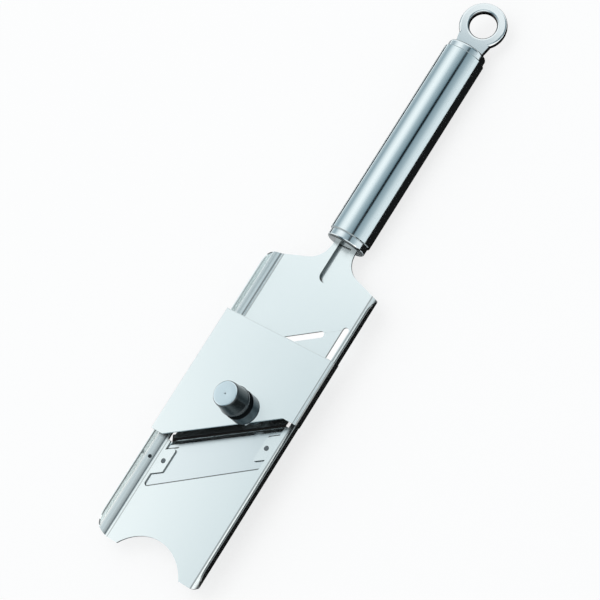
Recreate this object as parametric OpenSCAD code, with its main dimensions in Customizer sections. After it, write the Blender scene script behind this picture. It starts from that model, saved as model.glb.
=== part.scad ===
// Hand-held mandoline slicer, shown with its cutting face down and its thickness knob up.
// +Z points to the knob side, +Y runs from the feet of the deck to the hanging ring.
// X = 0 is the middle plane and Z = 0 is the lowest line of the handle tube.
// The sheet parts carry their heights from deck_top, and their lengths from the feet.

/* [Deck channel] */
// Length from the feet to the shoulders, at the sides of the flat panel
deck_l = 193.4; // [170:0.2:230]
// Width over the two side walls
deck_w = 81.8; // [76:0.2:96]
// Width of the flat panel between the two bends
panel_w = 69.2; // [66:0.2:72]
// Sheet thickness of the deck
sheet_t = 1.0; // [0.8:0.1:1.2]
// Height of the side walls above the panel
wall_h = 6.3; // [5:0.1:7]
// Angle of the flared part of the side walls
flare_angle = 25; // [18:1:32]
// Inside radius of the bend along the panel
bend_r = 2.0; // [1.2:0.1:2.6]
// Inside radius of the bend below the rim
rim_bend_r = 1.5; // [1:0.1:2]
// Corner radius of the flat blank at the feet
corner_r = 13; // [10:0.5:15]
// Corner radius of the flat blank at the shoulders
shoulder_r = 10; // [7:0.5:12]
// Drop of the panel's upper face below the handle's centre line
deck_drop = 0.4; // [0:0.1:1]
// Radius of the half-moon cut between the feet
foot_r = 30; // [26:0.5:34]
// Depth of the half-moon cut
foot_depth = 13.5; // [10:0.5:16]
// Slope of the two shoulders
shoulder_angle = 17; // [12:1:22]
// Radius of the fillets between shoulders and neck
neck_fillet = 14; // [11:0.5:16]
// Width of the neck that enters the handle
neck_w = 17; // [14:0.5:19]
// Length of neck inside the handle tube
tang_l = 26; // [20:1:40]

/* [Stiffening groove] */
// Width of the groove at the panel's face
groove_w = 9.4; // [7:0.2:10.4]
// Depth of the groove
groove_d = 2.2; // [1.2:0.1:2.6]
// Distance of the groove's round end from the shoulders, back along the panel
groove_back = 5.4; // [3:0.2:12]

/* [Cutting throat] */
// Angle of the cutting edge, the throat and the hinge line across the deck
slant = 32.2; // [28:0.2:34]
// Where the hinge line crosses the middle plane, from the feet
hinge_y = 150.1; // [146:0.5:154]
// Where the throat edge of the tongue crosses the middle plane
lip_y = 86.7; // [84:0.5:90]
// Gap seen from above between the tongue and the cutting edge
throat_gap = 0.8; // [0.6:0.2:4]
// Half width of the tongue between its two side slots
tongue_half = 29.0; // [27.5:0.1:29.5]
// Extra half width of the tongue beside the throat
tongue_ear = 1.6; // [0.6:0.1:2]
// Width of the side slots
slot_w = 4.2; // [3:0.1:4.4]
// Width of the relief slot along the hinge line
relief_w = 4.0; // [2.5:0.1:4.5]
// Reach of the relief slot past the hinge line
relief_reach = 1.2; // [0.8:0.1:1.6]
// Length of tongue left standing at each end of the hinge line, measured across
land_w = 9.6; // [6:0.2:13]
// Clearance between the tongue and the deck at the hinge lands
hinge_gap = 0.1; // [0.05:0.05:0.2]

/* [Blade] */
// Thickness of the blade
blade_t = 0.9; // [0.6:0.1:1.2]
// Width of the ground bevel
bevel_w = 2.8; // [2:0.2:4]
// Where the back edge of the window crosses the middle plane, from the feet
window_y = 55.3; // [52:0.5:60]
// Angle of the window's back edge
window_slant = 34; // [31:0.5:35]
// Overlap of the blade behind the window
blade_overlap = 8; // [5:0.5:12]
// Radius of the two rivets that hold the blade
rivet_r = 1.5; // [1:0.1:1.8]

/* [Bridge plate] */
// Height of the bridge's upper face above the panel
bridge_h = 9.1; // [8.6:0.1:11]
// Where the square rear edge of the bridge lies, from the feet
bridge_back = 148.5; // [144:0.5:152]
// Thickness of the bridge plate
bridge_t = 1.0; // [0.8:0.1:1.2]
// Outside radius of the bends at its two sides
bridge_bend = 1.4; // [1.3:0.1:2]
// Overlap of the side lips over the walls of the deck
lip_overlap = 2.9; // [1:0.1:3]
// Overhang of the slanted front edge past the tongue's throat edge
bridge_front = -0.1; // [-2:0.1:2]
// Half width of the slanted part of the front edge
bridge_slant_half = 32.4; // [29:0.2:35]

/* [Thickness screw] */
// Place of the screw across the deck
screw_x = 7.6; // [4:0.2:10]
// Place of the screw from the feet
screw_y = 101.2; // [98:0.2:108]
// Radius of the screw over its thread
screw_r = 2.5; // [2:0.1:3]
// Rise of the screw in one turn
screw_pitch = 0.8; // [0.5:0.1:1]
// Turns from fully in to fully out
screw_turns = 3; // [2:0.5:3]
// Radius of the fixed collar on the bridge
collar_r = 9.3; // [8:0.1:11]
// Height of the fixed collar
collar_h = 8.6; // [6:0.2:10]
// Radius of the collar's shank below the bridge
shank_r = 5.0; // [4:0.1:6]
// Width across the flats of the nut under the bridge
nut_af = 15; // [13:0.5:18]
// Thickness of the nut under the bridge
nut_t = 2.0; // [1.4:0.1:2.2]
// Radius of the knob at its foot
knob_r = 9.3; // [8:0.1:11]
// Radius of the knob at its crown
knob_top_r = 7.9; // [6.5:0.1:8.2]
// Height of the knob's tapered body
knob_h = 13; // [10:0.5:16]
// Radius of the knob's neck
knob_neck_r = 7.6; // [6:0.1:8.6]
// Height of the knob's neck
knob_neck_h = 3.0; // [2:0.2:4]
// Radius of the swivel pad that bears on the tongue
pad_r = 5.0; // [4:0.1:6]
// Height of the swivel pad
pad_h = 2.6; // [2.4:0.1:2.8]

/* [Handle] */
// Outside radius of the handle tube
tube_r = 13; // [12:0.5:15]
// Wall of the handle tube
tube_wall = 1.2; // [0.8:0.1:1.6]
// Length of the handle tube
tube_l = 128.2; // [110:0.2:150]
// Step from the tube down to its end caps
cap_step = 0.9; // [0.4:0.1:1.5]
// Length of the front cap outside the tube
front_cap_l = 5.3; // [4:0.1:8]
// Length of the rear cap outside the tube
rear_cap_l = 4.5; // [3:0.1:8]
// Rounding of the caps' outer edges
cap_round = 1.5; // [0.5:0.1:2.5]
// Length of the caps inside the tube
spigot_l = 5; // [3:0.5:8]
// Outside radius of the hanging ring
ring_r = 14.2; // [13:0.2:18]
// Radius of the hole in the hanging ring
ring_hole_r = 8.1; // [6:0.1:10]
// Thickness of the hanging ring
ring_t = 5; // [4:0.2:7]
// Distance from the rear cap to the ring's centre
ring_reach = 17.1; // [15:0.1:22]
// Width of the ring's neck at the rear cap
ring_neck_w = 18; // [12:0.5:19]
// Angle that the hanging ring is turned about the handle's centre line
ring_turn = 20; // [0:1:45]

/* [Hidden] */
$fn = 64;

// Clearances
seat_gap = 0.05;   // round a shaft seated in a rigid joint
slide_gap = 0.05;  // round the screw in its collar and its ball in the pad
pad_gap = 0.1;     // between the swivel pad and the tongue
turn_gap = 0.3;    // between the knob and the collar when screwed fully in
lip_gap = 0.1;     // between the bridge's lips and the walls of the deck
cut = 1;           // how far a cutting shape runs past the face it opens
lap = 0.02;        // how far the stretches of a bent sheet run into each other

// Cross-section of the deck, measured from the panel's upper face
rim_x = deck_w / 2 - sheet_t - rim_bend_r;
flare_l = (rim_x - panel_w / 2 + (rim_bend_r - bend_r) * sin(flare_angle)) / cos(flare_angle);
rim_bend_z = bend_r * (1 - cos(flare_angle)) + flare_l * sin(flare_angle)
    + rim_bend_r * cos(flare_angle);
wall_straight = wall_h - rim_bend_z;
bend_arc = (bend_r + sheet_t / 2) * flare_angle * PI / 180;
rim_arc = (rim_bend_r + sheet_t / 2) * (90 - flare_angle) * PI / 180;
blank_half = panel_w / 2 + bend_arc + flare_l + rim_arc + wall_straight;

// Heights in the slicer's frame
deck_top = tube_r - deck_drop;
deck_bottom = deck_top - sheet_t;
rim_z = deck_top + wall_h;
bridge_top = deck_top + bridge_h;
bridge_bottom = bridge_top - bridge_t;
bridge_half = deck_w / 2 + lip_gap + bridge_t;
lip_z = rim_z - lip_overlap;
pad_z = deck_top + pad_gap;
knob_z = bridge_top + collar_h + turn_gap;

// Lengths from the feet
lip_end = shoulder(blank_half - shoulder_r) + shoulder_r - shoulder_r / cos(shoulder_angle);
neck_x = neck_w / 2;
neck_root = shoulder(neck_x + neck_fillet) + neck_fillet / cos(shoulder_angle);
front_cap_y = neck_root + 1.2;
tube_y = front_cap_y + front_cap_l;
neck_end = tube_y + tang_l;
rear_cap_y = tube_y + tube_l;
rear_face_y = rear_cap_y + rear_cap_l;
ring_y = rear_face_y + ring_reach;
total_l = ring_y + ring_r;
groove_y = deck_l - groove_back + groove_w / 2;

// Throat, slots and window
ear_half = tongue_half + tongue_ear;
slot_x = tongue_half + slot_w / 2;
slot_back = slot_w / 4;
relief_half = tongue_half - land_w;
window_half = ear_half + 0.4;
edge_y = lip_y - throat_gap / cos(slant);
tab_low_y = window_y + 7.8;
tab_high_y = tab_low_y + 16.1;
tab_half = 24.3;
tab_edge = window_half + 1;
rivet_x = (tab_half + window_half + 0.5) / 2;
rivet_z = deck_top - 0.2;

// Screw, pad and ring
ball_r = 1.3;
ball_z = pad_z + pad_h - 1;
ball_neck_r = 0.75;
pad_dome_r = 15;
stem_z = pad_z + pad_h + 0.15;
ring_z = stem_z + 0.1;
ring_thick = 0.6;
ring_in_r = screw_r - 0.5;
ring_out_r = screw_r + 2;
screw_in_knob = 11;
screw_l = knob_z + screw_in_knob - stem_z;

// Inside the handle
bore_r = tube_r - tube_wall;
cap_r = tube_r - cap_step;
plug_l = 16;
plug_y = tube_y + spigot_l + 1;
pin_r = 2;
shank_l = rear_cap_l + spigot_l + 4;
ring_shank_r = 4;
ring_nut_t = 3.5;
ring_nut_af = 12;

// Height of the shoulder line over x, from the feet
function shoulder(x) = deck_l - (x - panel_w / 2) * tan(shoulder_angle);
// A line across the deck that is parallel to the cutting edge
function across(y0, x) = y0 + x * tan(slant);
// The back edge of the window
function back_edge(x) = window_y + x * tan(window_slant);
// Points of the arc of radius r that rounds the corner b between a and c
function corner_arc(a, b, c, r, steps = 10) =
    let (
        u = (a - b) / norm(a - b),
        v = (c - b) / norm(c - b),
        half = acos(u * v) / 2,
        m = b + (u + v) / norm(u + v) * r / sin(half),
        p = b + u * r / tan(half) - m,
        q = b + v * r / tan(half) - m,
        from = atan2(p.y, p.x),
        sweep = (atan2(q.y, q.x) - from + 540) % 360 - 180
    )
    [for (k = [0:steps]) m + r * [cos(from + sweep * k / steps), sin(from + sweep * k / steps)]];
// An outline whose points are [x, y, corner radius]
function rounded(points) =
    let (n = len(points), at = [for (p = points) [p.x, p.y]])
    [for (k = [0:n - 1]) each (points[k].z > 0
        ? corner_arc(at[(k + n - 1) % n], at[k], at[(k + 1) % n], points[k].z)
        : [at[k]])];

// Moves a shape from lengths counted from the feet to the middle of the slicer
module from_feet() {
    translate([0, -total_l / 2, 0]) children();
}

// A profile in X and Z run along Y
module along_y(from, to) {
    translate([0, to, 0]) rotate([90, 0, 0]) linear_extrude(to - from) children();
}

// Part of a flat ring between two angles less than 180 degrees apart
module sector(r_in, r_out, a0, a1) {
    reach = 3 * r_out;
    middle = (a0 + a1) / 2;
    intersection() {
        difference() {
            circle(r_out);
            circle(r_in);
        }
        polygon([
            [0, 0],
            reach * [cos(a0), sin(a0)],
            reach * [cos(middle), sin(middle)],
            reach * [cos(a1), sin(a1)]
        ]);
    }
}

// ---- Deck ----

module wall_profile() {
    translate([panel_w / 2, bend_r]) {
        sector(bend_r, bend_r + sheet_t, -90, -90 + flare_angle);
        rotate(flare_angle) translate([-lap, -bend_r - sheet_t])
            square([flare_l + 2 * lap, sheet_t]);
    }
    translate([rim_x, rim_bend_z]) {
        sector(rim_bend_r, rim_bend_r + sheet_t, -90 + flare_angle, 0);
        translate([rim_bend_r, -lap]) square([sheet_t, wall_straight + lap]);
    }
}

module channel_profile() {
    translate([-panel_w / 2 - lap, -sheet_t]) square([panel_w + 2 * lap, sheet_t]);
    wall_profile();
    mirror([1, 0]) wall_profile();
}

module deck_plan() {
    right = [
        [blank_half, 0, corner_r],
        [blank_half, shoulder(blank_half), shoulder_r],
        [neck_x, shoulder(neck_x), neck_fillet],
        [neck_x, neck_end, 0]
    ];
    left = [for (k = [3:-1:0]) [-right[k].x, right[k].y, right[k].z]];
    polygon(rounded(concat(right, left)));
}

// Cross-section of the pressed groove, grown by skin and closed at the height top
module groove_profile(skin, top = 0) {
    foot = groove_w / 2 - groove_d * 0.2;
    polygon([
        [-groove_w / 2 - skin, top],
        [-groove_w / 2 - skin, -skin],
        [-foot - skin, -groove_d - skin],
        [foot + skin, -groove_d - skin],
        [groove_w / 2 + skin, -skin],
        [groove_w / 2 + skin, top]
    ]);
}

// Outside of the groove, or its hollow when hollow is true
module groove_shape(hollow = false) {
    skin = hollow ? 0 : sheet_t;
    top = hollow ? cut : 0;
    translate([0, 0, deck_top]) {
        along_y(groove_y, neck_end + top) groove_profile(skin, top);
        translate([0, groove_y, 0]) rotate_extrude() intersection() {
            groove_profile(skin, top);
            translate([0, -tube_r]) square(2 * tube_r);
        }
    }
}

// The flat outline of one welding tab that reaches over the blade
module tab_plan(side, round_r) {
    inner = side * tab_half;
    outer = side * tab_edge;
    polygon(rounded([
        [inner, across(tab_low_y, inner), 0.8],
        [outer, across(tab_low_y, outer), 0],
        [outer, across(tab_high_y, outer), 0],
        [inner, across(tab_high_y, inner), round_r]
    ]));
}

module relief_plan() {
    half = relief_half / cos(slant) - relief_w / 2;
    translate([0, hinge_y]) rotate(slant) translate([0, relief_reach - relief_w / 2]) {
        square([2 * half, relief_w], center = true);
        for (side = [-1, 1]) translate([side * half, 0]) circle(relief_w / 2);
    }
}

module slot_plan(side) {
    x = side * slot_x;
    low = across(lip_y, x - slot_w / 2);
    high = across(hinge_y, x) - slot_back;
    translate([x - slot_w / 2, low]) square([slot_w, high - low]);
    translate([x, high]) circle(slot_w / 2);
}

module deck_opening_plan() {
    for (side = [-1, 1]) slot_plan(side);
    relief_plan();
    polygon([
        [-tongue_half - 0.1, across(lip_y - 1, -tongue_half)],
        [tongue_half + 0.1, across(lip_y - 1, tongue_half)],
        [tongue_half + 0.1, across(hinge_y, tongue_half)],
        [-tongue_half - 0.1, across(hinge_y, -tongue_half)]
    ]);
    difference() {
        polygon(rounded([
            [-window_half, back_edge(-window_half), 2],
            [window_half, back_edge(window_half), 2],
            [window_half, across(lip_y, window_half), 0],
            [-window_half, across(lip_y, -window_half), 0]
        ]));
        tab_plan(-1, 1.5);
        tab_plan(1, 5);
    }
}

// Rounds the end of the upright part of a side wall with the radius r
module lip_end_cut(r) {
    translate([rim_x + 1, 0, deck_top]) rotate([90, 0, 90]) linear_extrude(deck_w) difference() {
        translate([-cut, rim_bend_z - 1]) square([r + cut, wall_straight + 1 + cut]);
        translate([r, wall_h - r]) circle(r);
    }
}

module rivet_places() {
    for (side = [-1, 1])
        translate([side * rivet_x, across((tab_low_y + tab_high_y) / 2, side * rivet_x), 0])
            children();
}

module deck_channel() {
    color("lightsteelblue") from_feet() difference() {
        union() {
            intersection() {
                translate([0, 0, deck_top]) along_y(0, neck_end) channel_profile();
                linear_extrude(rim_z + cut) deck_plan();
            }
            groove_shape();
        }
        groove_shape(hollow = true);
        translate([0, foot_depth - foot_r, 0]) cylinder(h = rim_z, r = foot_r);
        translate([0, 0, deck_bottom - cut]) linear_extrude(sheet_t + 2 * cut)
            deck_opening_plan();
        for (side = [0, 1]) mirror([side, 0, 0]) {
            lip_end_cut(corner_r);
            translate([0, lip_end, 0]) mirror([0, 1, 0]) lip_end_cut(shoulder_r);
        }
        rivet_places() cylinder(h = rim_z, r = rivet_r + seat_gap);
        translate([0, plug_y + plug_l / 2, 0]) cylinder(h = 2 * tube_r, r = pin_r + seat_gap);
    }
}

// ---- Tongue and blade ----

module tongue_plan() {
    back = hinge_y - hinge_gap / cos(slant);
    ear = 12;
    polygon(rounded([
        [-tongue_half, across(back, -tongue_half), 0],
        [-tongue_half, across(lip_y + ear, -tongue_half), 2],
        [-ear_half, across(lip_y + ear - 2, -ear_half), 2],
        [-ear_half, across(lip_y, -ear_half), 0.6],
        [ear_half, across(lip_y, ear_half), 0.6],
        [ear_half, across(lip_y + ear - 2, ear_half), 2],
        [tongue_half, across(lip_y + ear, tongue_half), 2],
        [tongue_half, across(back, tongue_half), 0]
    ]));
}

module thickness_tongue() {
    color("lightsteelblue") from_feet() translate([0, 0, deck_bottom])
        linear_extrude(sheet_t) difference() {
            tongue_plan();
            relief_plan();
        }
}

module blade() {
    side = tab_edge + 1.3;
    tip = window_half - 2.4;
    color("silver") from_feet() difference() {
        translate([0, 0, deck_bottom - blade_t]) linear_extrude(blade_t) polygon([
            [-side, back_edge(-side) - blade_overlap],
            [side, back_edge(side) - blade_overlap],
            [side, across(edge_y, side) - 4],
            [tip + 2, across(edge_y, tip + 2)],
            [-tip, across(edge_y, -tip)],
            [-side, across(edge_y, -tip) - 5]
        ]);
        translate([0, edge_y, deck_bottom]) rotate([0, 0, slant]) rotate([90, 0, 90])
            linear_extrude(3 * deck_w, center = true) polygon([
                [-bevel_w, 0],
                [0, 0.05 - blade_t],
                [cut, 0.05 - blade_t],
                [cut, cut],
                [-bevel_w, cut]
            ]);
        rivet_places() cylinder(h = rim_z, r = rivet_r + seat_gap);
    }
}

module blade_rivets() {
    bottom = deck_bottom - blade_t;
    color("gray") from_feet() rivet_places() translate([0, 0, bottom])
        cylinder(h = rivet_z - bottom, r = rivet_r);
}

// ---- Bridge ----

module bridge_profile() {
    bend_in = bridge_bend - bridge_t;
    flat = bridge_half - bridge_bend;
    translate([-flat - lap, bridge_bottom]) square([2 * flat + 2 * lap, bridge_t]);
    for (side = [0, 1]) mirror([side, 0]) {
        translate([flat, bridge_top - bridge_bend]) sector(bend_in, bridge_bend, 0, 90);
        translate([bridge_half - bridge_t, lip_z])
            square([bridge_t, bridge_top - bridge_bend - lip_z + lap]);
    }
}

module bridge_plan() {
    front = lip_y + bridge_front;
    low = across(front, -bridge_slant_half);
    high = across(front, bridge_slant_half);
    out = bridge_half + cut;
    polygon(rounded([
        [-out, low, 0],
        [-bridge_slant_half, low, 1],
        [bridge_slant_half, high, 1],
        [out, high, 0],
        [out, bridge_back, 0],
        [-out, bridge_back, 0]
    ]));
}

module bridge_plate() {
    color("gainsboro") from_feet() difference() {
        intersection() {
            along_y(0, deck_l) bridge_profile();
            linear_extrude(2 * bridge_top) bridge_plan();
        }
        translate([screw_x, screw_y, 0]) cylinder(h = 2 * bridge_top, r = shank_r + seat_gap);
    }
}

// Short beads that join the lips of the bridge to the walls of the deck
module bridge_welds() {
    bead = 6;
    inset = 8;
    leg = 0.6;
    front = lip_y + bridge_front;
    color("gray") from_feet() for (side = [-1, 1])
        for (y = [across(front, side * bridge_slant_half) + inset, bridge_back - inset - bead])
            along_y(y, y + bead) polygon([
                [side * deck_w / 2, lip_z],
                [side * (deck_w / 2 + lip_gap + leg), lip_z],
                [side * deck_w / 2, lip_z - leg]
            ]);
}

// ---- Thickness screw ----

module on_screw() {
    from_feet() translate([screw_x, screw_y, 0]) children();
}

module screw_collar() {
    edge = 0.5;
    bore = screw_r + slide_gap;
    top = bridge_top + collar_h;
    color("slategray") on_screw() rotate_extrude() polygon([
        [bore, bridge_bottom - nut_t],
        [shank_r, bridge_bottom - nut_t],
        [shank_r, bridge_top],
        [collar_r, bridge_top],
        [collar_r, top - edge],
        [collar_r - edge, top],
        [bore, top]
    ]);
}

module collar_nut() {
    color("slategray") on_screw() translate([0, 0, bridge_bottom - nut_t]) difference() {
        cylinder(h = nut_t, r = nut_af / sqrt(3), $fn = 6);
        translate([0, 0, -cut]) cylinder(h = nut_t + 2 * cut, r = shank_r + seat_gap);
    }
}

module thickness_screw() {
    color("silver") on_screw() {
        translate([0, 0, ball_z]) sphere(ball_r);
        translate([0, 0, ball_z]) cylinder(h = stem_z - ball_z + 0.2, r = ball_neck_r);
        difference() {
            translate([0, 0, stem_z]) cylinder(h = screw_l, r = screw_r);
            translate([0, 0, ring_z - seat_gap]) difference() {
                cylinder(h = ring_thick + 2 * seat_gap, r = screw_r + cut);
                translate([0, 0, -cut]) cylinder(h = 3 * cut, r = ring_in_r - seat_gap);
            }
        }
    }
}

module stop_ring() {
    mouth = 1.6 * ring_in_r;
    color("gray") on_screw() translate([0, 0, ring_z]) difference() {
        cylinder(h = ring_thick, r = ring_out_r);
        translate([0, 0, -cut]) cylinder(h = ring_thick + 2 * cut, r = ring_in_r);
        translate([0, -mouth / 2, -cut]) cube([2 * ring_out_r, mouth, ring_thick + 2 * cut]);
    }
}

module knob_cap() {
    edge = 0.5;
    crown = 1.2;
    crown_in = 0.8;
    body_z = knob_z + knob_neck_h;
    color("darkslategray") on_screw() difference() {
        rotate_extrude() polygon([
            [0, knob_z],
            [knob_neck_r, knob_z],
            [knob_neck_r, body_z],
            [knob_r - edge, body_z],
            [knob_r, body_z + edge],
            [knob_top_r, body_z + knob_h - crown],
            [knob_top_r - crown_in, body_z + knob_h],
            [0, body_z + knob_h]
        ]);
        translate([0, 0, knob_z - cut])
            cylinder(h = screw_in_knob + cut, r = screw_r + seat_gap);
        translate([0, 0, body_z + knob_h - 0.3]) cylinder(h = cut, r = 0.5);
    }
}

module swivel_pad() {
    color("dimgray") on_screw() translate([0, 0, pad_z]) difference() {
        intersection() {
            cylinder(h = pad_h, r = pad_r);
            translate([0, 0, pad_dome_r]) sphere(pad_dome_r, $fn = 96);
        }
        translate([0, 0, ball_z - pad_z]) sphere(ball_r + slide_gap);
        translate([0, 0, ball_z - pad_z]) cylinder(h = pad_h, r = ball_neck_r + 2 * slide_gap);
    }
}

// ---- Handle ----

// The neck's cross-section with clearance, for the slots that it passes through
module neck_slot(from, to) {
    translate([0, 0, deck_top]) along_y(from, to) {
        translate([-neck_x - seat_gap, -sheet_t - seat_gap])
            square([neck_w + 2 * seat_gap, sheet_t + 2 * seat_gap]);
        groove_profile(sheet_t + seat_gap);
    }
}

// A turned piece on the handle's centre line, its profile given as [radius, length]
module turned(y) {
    translate([0, y, tube_r]) rotate([-90, 0, 0]) rotate_extrude() children();
}

module cap_profile(outside) {
    square([cap_r, outside - cap_round]);
    square([cap_r - cap_round, outside]);
    translate([cap_r - cap_round, outside - cap_round]) intersection() {
        circle(cap_round);
        square(cap_round);
    }
    translate([0, -spigot_l]) square([bore_r - seat_gap, spigot_l]);
}

module front_cap() {
    color("silver") from_feet() difference() {
        turned(tube_y) mirror([0, 1]) cap_profile(front_cap_l);
        neck_slot(front_cap_y - cut, tube_y + spigot_l + cut);
    }
}

module rear_cap() {
    color("silver") from_feet() difference() {
        turned(rear_cap_y) cap_profile(rear_cap_l);
        turned(rear_cap_y - spigot_l - cut) square([ring_shank_r + seat_gap, 2 * tube_r]);
    }
}

module handle_tube() {
    edge = 0.5;
    color("lightgray") from_feet() turned(tube_y) polygon([
        [bore_r, 0],
        [tube_r - edge, 0],
        [tube_r, edge],
        [tube_r, tube_l - edge],
        [tube_r - edge, tube_l],
        [bore_r, tube_l]
    ]);
}

module tang_plug() {
    color("dimgray") from_feet() difference() {
        turned(plug_y) square([bore_r - seat_gap, plug_l]);
        neck_slot(plug_y - cut, plug_y + plug_l + cut);
        translate([0, plug_y + plug_l / 2, 0]) cylinder(h = 2 * tube_r, r = pin_r + seat_gap);
    }
}

module tang_pin() {
    reach = bore_r - 2;
    color("gray") from_feet() translate([0, plug_y + plug_l / 2, tube_r - reach])
        cylinder(h = 2 * reach, r = pin_r);
}

module hanging_ring() {
    soft = 1.6;
    ring_w = ring_r - ring_hole_r;
    blend = 4;
    waist = ring_neck_w / 2;
    color("lightgray") from_feet() translate([0, 0, tube_r]) rotate([0, ring_turn, 0]) {
        translate([0, ring_y, 0]) rotate_extrude() translate([ring_hole_r, -ring_t / 2]) {
            translate([soft, 0]) square([ring_w - 2 * soft, ring_t]);
            translate([0, soft]) square([ring_w, ring_t - 2 * soft]);
            for (x = [soft, ring_w - soft], z = [soft, ring_t - soft])
                translate([x, z]) circle(soft, $fn = 32);
        }
        difference() {
            translate([0, 0, -ring_t / 2]) linear_extrude(ring_t) polygon(rounded([
                [waist, rear_face_y, 0],
                [waist, rear_face_y + 2, blend],
                [ring_hole_r + 2, ring_y - ring_hole_r - 1.5, 0],
                [-ring_hole_r - 2, ring_y - ring_hole_r - 1.5, 0],
                [-waist, rear_face_y + 2, blend],
                [-waist, rear_face_y, 0]
            ]));
            translate([0, ring_y, -tube_r]) cylinder(h = 2 * tube_r, r = ring_hole_r + 2);
        }
        translate([0, 0, -tube_r]) turned(rear_face_y - shank_l)
            square([ring_shank_r, shank_l + 0.5]);
    }
}

module ring_nut() {
    color("gray") from_feet() translate([0, rear_cap_y - spigot_l, tube_r])
        rotate([90, 0, 0]) difference() {
            cylinder(h = ring_nut_t, r = ring_nut_af / sqrt(3), $fn = 6);
            translate([0, 0, -cut])
                cylinder(h = ring_nut_t + 2 * cut, r = ring_shank_r + seat_gap);
        }
}

deck_channel();
thickness_tongue();
blade();
blade_rivets();
bridge_plate();
bridge_welds();
screw_collar();
collar_nut();
thickness_screw();
stop_ring();
knob_cap();
swivel_pad();
front_cap();
handle_tube();
tang_plug();
tang_pin();
rear_cap();
hanging_ring();
ring_nut();
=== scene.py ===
"""Looks of a flat steel slicer: its finishes, its small trim and the studio round it."""

import logging
import math
from collections.abc import Sequence
from dataclasses import dataclass, field
from enum import Enum

import bmesh
import bpy
from mathutils import Matrix, Vector

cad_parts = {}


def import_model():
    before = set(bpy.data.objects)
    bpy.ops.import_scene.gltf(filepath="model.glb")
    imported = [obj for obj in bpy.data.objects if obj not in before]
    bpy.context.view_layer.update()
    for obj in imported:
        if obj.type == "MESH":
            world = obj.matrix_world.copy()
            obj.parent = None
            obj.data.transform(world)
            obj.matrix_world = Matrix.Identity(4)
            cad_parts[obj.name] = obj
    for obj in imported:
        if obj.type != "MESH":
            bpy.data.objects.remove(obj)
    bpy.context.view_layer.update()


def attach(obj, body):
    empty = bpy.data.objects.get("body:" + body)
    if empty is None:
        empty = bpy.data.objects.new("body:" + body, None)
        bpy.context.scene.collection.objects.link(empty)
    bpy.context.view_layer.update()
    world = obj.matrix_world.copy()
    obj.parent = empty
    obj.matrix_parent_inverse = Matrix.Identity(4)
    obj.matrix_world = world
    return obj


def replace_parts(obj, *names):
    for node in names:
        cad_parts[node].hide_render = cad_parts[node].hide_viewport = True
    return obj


LOG = logging.getLogger("slicer")
MM = 0.001
Point = tuple[float, float, float]
Colour = tuple[float, float, float]
Profile = Sequence[tuple[float, float]]


class Along(Enum):
    """The direction in which a surface was brushed, as the line noise's factor on each axis."""

    LENGTH = (1.0, 0.02, 1.0)
    WIDTH = (0.02, 1.0, 1.0)
    ROUND_Z = (1.0, 1.0, 0.0)


# ---- Shader expressions ----


class Wire:
    """A shader value that adds its Math nodes when it is used in an expression."""

    def __init__(self, sheet: "Sheet", socket: bpy.types.NodeSocket) -> None:
        """Wraps one output socket.

        Args:
            sheet: the sheet that the socket's node belongs to.
            socket: the output that carries the value.
        """
        self.sheet = sheet
        self.socket = socket

    def _math(self, operation: str, *values: "Wire | float") -> "Wire":
        """Adds one Math node.

        Args:
            operation: the Math node's operation.
            values: its inputs, in order.

        Returns:
            The node's value.
        """
        return self.sheet.node("ShaderNodeMath", {"operation": operation}, dict(enumerate(values)))

    def __add__(self, other: "Wire | float") -> "Wire":
        """Sum."""
        return self._math("ADD", self, other)

    def __radd__(self, other: float) -> "Wire":
        """Sum, reflected."""
        return self._math("ADD", other, self)

    def __sub__(self, other: "Wire | float") -> "Wire":
        """Difference."""
        return self._math("SUBTRACT", self, other)

    def __rsub__(self, other: float) -> "Wire":
        """Difference, reflected."""
        return self._math("SUBTRACT", other, self)

    def __mul__(self, other: "Wire | float") -> "Wire":
        """Product."""
        return self._math("MULTIPLY", self, other)

    def __rmul__(self, other: float) -> "Wire":
        """Product, reflected."""
        return self._math("MULTIPLY", other, self)

    def __lt__(self, other: "Wire | float") -> "Wire":
        """1 where this is less."""
        return self._math("LESS_THAN", self, other)

    def __gt__(self, other: "Wire | float") -> "Wire":
        """1 where this is more."""
        return self._math("GREATER_THAN", self, other)

    def size(self) -> "Wire":
        """Absolute value."""
        return self._math("ABSOLUTE", self)

    def larger(self, other: "Wire | float") -> "Wire":
        """The larger of two values.

        Args:
            other: the other value.

        Returns:
            The larger one.
        """
        return self._math("MAXIMUM", self, other)

    def __pow__(self, other: float) -> "Wire":
        """Power."""
        return self._math("POWER", self, other)

    def clamp(self, low: float = 0.0, high: float = 1.0) -> "Wire":
        """Keeps the value within two limits.

        Args:
            low: the lower limit.
            high: the upper limit.

        Returns:
            The limited value.
        """
        return self._math("MINIMUM", self.larger(low), high)


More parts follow.
